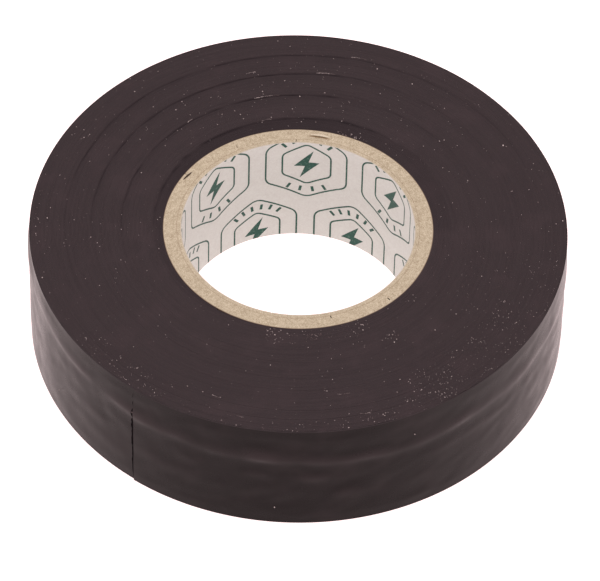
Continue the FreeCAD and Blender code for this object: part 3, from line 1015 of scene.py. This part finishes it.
# Lines of pale grains, from one azimuth to another at a radius. The last two, azimuths 74.5 to 86, are
# painted sheen on the slit face.
LINT_AND_SHEEN_LINES = (
    (105, 97, 25.5), (105, 101.5, 21), (129, 127, 25.3), (250.5, 252.5, 33), (281, 284, 31),
    (285, 287, 35), (105, 102.5, 30.5), (257.5, 259, 35.5), (86, 81, 30), (78, 74.5, 34),
)
FILM_GRAINS = ((210, 5, 0.11), (266.5, 3.3, 0.10), (296, 15, 0.12), (234.3, 14.3, 0.13))
# Each patch: how many grains, between which azimuths, between which radii, and of what sizes.
DUST_PATCHES = (
    (800, (0, 360), (19.2, 37.2), (0.03, 0.08)),
    (34, (0, 360), (20, 37.0), (0.08, 0.14)),
    (260, (298, 336), (30.5, 37.3), (0.03, 0.09)),
    (60, (284, 308), (34.5, 37.3), (0.035, 0.09)),
    (110, (325, 352), (24.0, 37.2), (0.03, 0.09)),
    (90, (258, 300), (19.0, 21.6), (0.035, 0.10)),
    (26, (274, 281), (19.8, 20.9), (0.05, 0.14)),
    (90, (215, 240), (33.5, 37.2), (0.035, 0.09)),
    (34, (252, 292), (35.6, 37.3), (0.04, 0.11)),
    (26, (174, 190), (31.0, 37.0), (0.04, 0.12)),
    (18, (62, 74), (18.8, 19.6), (0.06, 0.16)),
    (14, (300, 306), (23.0, 25.0), (0.05, 0.15)),
    (60, (60, 150), (22.0, 37.0), (0.04, 0.10)),
)
SUNK_FINE, SUNK_LARGE = 0.03 * MM, 0.02 * MM
LINT_STEP = 0.09
FULL_TURNS = (6.28, 6.28, 6.28)
LEAST_STRETCH, MOST_STRETCH = (0.7, 0.7, 0.5), (1.5, 1.1, 0.9)
DUST_DARK, DUST_PALE = (0.10, 0.08, 0.08), (0.50, 0.46, 0.45)
draw = random.Random(DUST_SEED)


def dust_material():
    """Pale paper dust, greyer where vinyl dust is mixed with it."""
    material, tree, shader = finish_material("paper_dust", (0.55, 0.5, 0.49, 1), 0.9, specular=0.2)
    place = add(tree, "ShaderNodeTexCoord").outputs["Object"]
    lumps = ease(tree, mottle(tree, place, 1.5 * MM, 1.0), 0.35, 0.65)
    tree.links.new(mix_colour(tree, lumps, DUST_DARK, DUST_PALE), shader.inputs["Base Color"])
    bump(tree, shader, mottle(tree, place, 0.05 * MM, 2.0), 0.01 * MM)
    return material


def dust_tree(grain, material):
    """One grain on each point, turned any way and squashed by the point's own size."""
    tree, given = start_tree("dust", {"Grain size": "Float", "Seed": "Int"})
    size = add(tree, "GeometryNodeInputNamedAttribute", {"Name": "size"}, data_type="FLOAT").outputs[0]
    spin = add(tree, "FunctionNodeRandomValue",
               {1: FULL_TURNS, "Seed": given["Seed"]}, data_type="FLOAT_VECTOR")
    stretch = add(tree, "FunctionNodeRandomValue",
                  {0: LEAST_STRETCH, 1: MOST_STRETCH, "Seed": given["Seed"]}, data_type="FLOAT_VECTOR")
    scale = calc(tree, "MULTIPLY", size, given["Grain size"])
    squashed = add(tree, "ShaderNodeVectorMath", {0: stretch.outputs[0], "Scale": scale}, operation="SCALE")
    strewn = add(tree, "GeometryNodeInstanceOnPoints", {
        "Points": given["Geometry"],
        "Instance": add(tree, "GeometryNodeObjectInfo", {"Object": grain}).outputs["Geometry"],
        "Rotation": spin.outputs[0], "Scale": squashed.outputs[0],
    })
    end_tree(tree, strewn.outputs[0], material)
    return tree


def point_mesh(name, places):
    """Loose points, each with a size."""
    mesh = bpy.data.meshes.new(name)
    mesh.from_pydata([place for place, size in places], [], [])
    stored = mesh.attributes.new("size", "FLOAT", "POINT")
    stored.data.foreach_set("value", [size for place, size in places])
    return mesh


def scatter_on_face(count, azimuths, radii, sizes):
    """Seeded places on the upper slit face, with more small grains than large ones."""
    places = []
    for _ in range(count):
        azimuth = math.radians(draw.uniform(*azimuths))
        r = math.sqrt(draw.uniform(radii[0] ** 2, radii[1] ** 2)) * MM
        size = sizes[0] * (sizes[1] / sizes[0]) ** (draw.random() ** 2)
        places.append((round_axis(r, azimuth, TAPE_WIDTH - SUNK_FINE), size))
    return places


grain_shape = bmesh.new()
bmesh.ops.create_icosphere(grain_shape, subdivisions=1, radius=1.0)
grain_mesh = bpy.data.meshes.new("dust_grain")
grain_shape.to_mesh(grain_mesh)
grain_shape.free()
grain = bpy.data.objects.new("dust_grain", grain_mesh)
bpy.context.scene.collection.objects.link(grain)

places = []
for patch in DUST_PATCHES:
    places += scatter_on_face(*patch)
for azimuth, r, size in LARGE_GRAINS:
    places.append((round_axis(r * MM, math.radians(azimuth), TAPE_WIDTH - SUNK_LARGE), 0.8 * size))
for start, end, r in LINT_AND_SHEEN_LINES:
    steps = max(4, round(abs(end - start) * math.radians(1) * r / LINT_STEP))
    for step in range(steps + 1):
        azimuth = math.radians(start + (end - start) * step / steps)
        bent = r + 0.12 * math.sin(2.4 * step / steps) + draw.uniform(-0.03, 0.03)
        place = round_axis(bent * MM, azimuth, TAPE_WIDTH - SUNK_LARGE)
        places.append((place, draw.uniform(0.03, 0.065)))
for azimuth, z, size in FILM_GRAINS:
    places.append((round_axis(OUTER_RADIUS + 0.1 * MM, math.radians(azimuth), z * MM), size))
dust_values = {"Grain size": MM, "Seed": DUST_SEED}
dust = grow("dust_grains", dust_tree(grain, dust_material()), dust_values, point_mesh("dust", places))
bpy.data.objects.remove(grain)
smooth(dust, 180)
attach(dust, "roll")
